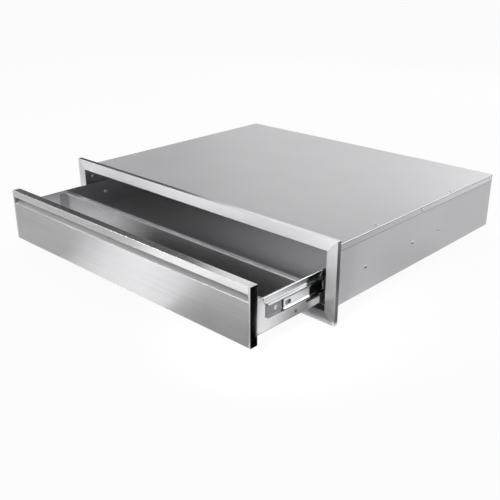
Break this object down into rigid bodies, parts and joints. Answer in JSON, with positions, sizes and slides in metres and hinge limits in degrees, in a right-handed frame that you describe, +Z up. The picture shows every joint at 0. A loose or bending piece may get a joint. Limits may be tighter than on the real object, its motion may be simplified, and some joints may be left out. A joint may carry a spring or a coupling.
{
  "type": "outdoor kitchen drawer",
  "caption": "Built-in stainless outdoor kitchen drawer: mitred trim frame, sheet-metal case, divided drawer with recessed finger pull, on telescoping ball-bearing slides.",
  "frame": {"origin": "middle of the case's flat underside, where it rests on the sill of the island's cut-out", "axes": "+X to the right as seen by someone facing the drawer, +Y into the island (the drawer opens towards -Y), +Z up"},
  "size_m": [0.76, 0.789, 0.163],
  "materials": {
    "trim_steel": "brushed stainless, grain along each bar",
    "case_steel": "matt mill-finish stainless",
    "front_steel": "brushed stainless, grain across the front",
    "box_steel": "brushed stainless",
    "slide_steel": "bright plated steel",
    "cage_steel": "plain strip steel",
    "ball_steel": "polished",
    "screw_steel": "turned stainless",
    "stop_rubber": "matt black"
  },
  "bodies": {
    "case": {"trim_top": "trim_steel", "trim_bottom": "trim_steel", "trim_left": "trim_steel", "trim_right": "trim_steel", "case_left": "case_steel", "case_right": "case_steel", "case_bottom": "case_steel", "case_back": "case_steel", "case_cover": "case_steel", "trim_screws": "screw_steel", "cover_screws": "screw_steel", "cover_side_screws": "screw_steel", "case_rail_screws": "screw_steel", "left_case_member": "slide_steel", "left_slide_stop": "stop_rubber", "right_case_member": "slide_steel", "right_slide_stop": "stop_rubber"},
    "drawer": {"front_screws": "screw_steel", "divider_rivets": "screw_steel", "box_rail_screws": "screw_steel", "box_rail_nuts": "screw_steel", "front_skin": "front_steel", "front_lip": "front_steel", "front_back": "front_steel", "pull_riser": "front_steel", "pull_roof": "front_steel", "front_cap_left": "front_steel", "front_cap_right": "front_steel", "box_left": "box_steel", "box_right": "box_steel", "box_floor": "box_steel", "box_front": "box_steel", "box_back": "box_steel", "divider": "box_steel", "left_drawer_member": "slide_steel", "right_drawer_member": "slide_steel"},
    "left_middle": {"left_middle_member": "slide_steel"},
    "left_outer_retainer": {"left_outer_cage": "cage_steel", "left_outer_balls": "ball_steel"},
    "left_inner_retainer": {"left_inner_cage": "cage_steel", "left_inner_balls": "ball_steel"},
    "right_middle": {"right_middle_member": "slide_steel"},
    "right_outer_retainer": {"right_outer_cage": "cage_steel", "right_outer_balls": "ball_steel"},
    "right_inner_retainer": {"right_inner_cage": "cage_steel", "right_inner_balls": "ball_steel"}
  },
  "joints": [
    {"name": "drawer_slide", "type": "slide", "parent": "case", "child": "drawer", "axis": [0, -1, 0], "range_m": [-0.19, 0.27]},
    {"name": "left_middle_slide", "type": "slide", "parent": "case", "child": "left_middle", "axis": [0, -1, 0], "range_m": [-0.152, 0.216]},
    {"name": "left_outer_retainer_slide", "type": "slide", "parent": "case", "child": "left_outer_retainer", "axis": [0, -1, 0], "range_m": [-0.171, 0.243]},
    {"name": "left_inner_retainer_slide", "type": "slide", "parent": "case", "child": "left_inner_retainer", "axis": [0, -1, 0], "range_m": [-0.076, 0.108]},
    {"name": "right_middle_slide", "type": "slide", "parent": "case", "child": "right_middle", "axis": [0, -1, 0], "range_m": [-0.152, 0.216]},
    {"name": "right_outer_retainer_slide", "type": "slide", "parent": "case", "child": "right_outer_retainer", "axis": [0, -1, 0], "range_m": [-0.171, 0.243]},
    {"name": "right_inner_retainer_slide", "type": "slide", "parent": "case", "child": "right_inner_retainer", "axis": [0, -1, 0], "range_m": [-0.076, 0.108]}
  ],
  "couplings": [
    {"joint": "left_middle_slide", "follows": "drawer_slide", "ratio": 0.8},
    {"joint": "left_outer_retainer_slide", "follows": "drawer_slide", "ratio": 0.9},
    {"joint": "left_inner_retainer_slide", "follows": "drawer_slide", "ratio": 0.4},
    {"joint": "right_middle_slide", "follows": "drawer_slide", "ratio": 0.8},
    {"joint": "right_outer_retainer_slide", "follows": "drawer_slide", "ratio": 0.9},
    {"joint": "right_inner_retainer_slide", "follows": "drawer_slide", "ratio": 0.4}
  ]
}
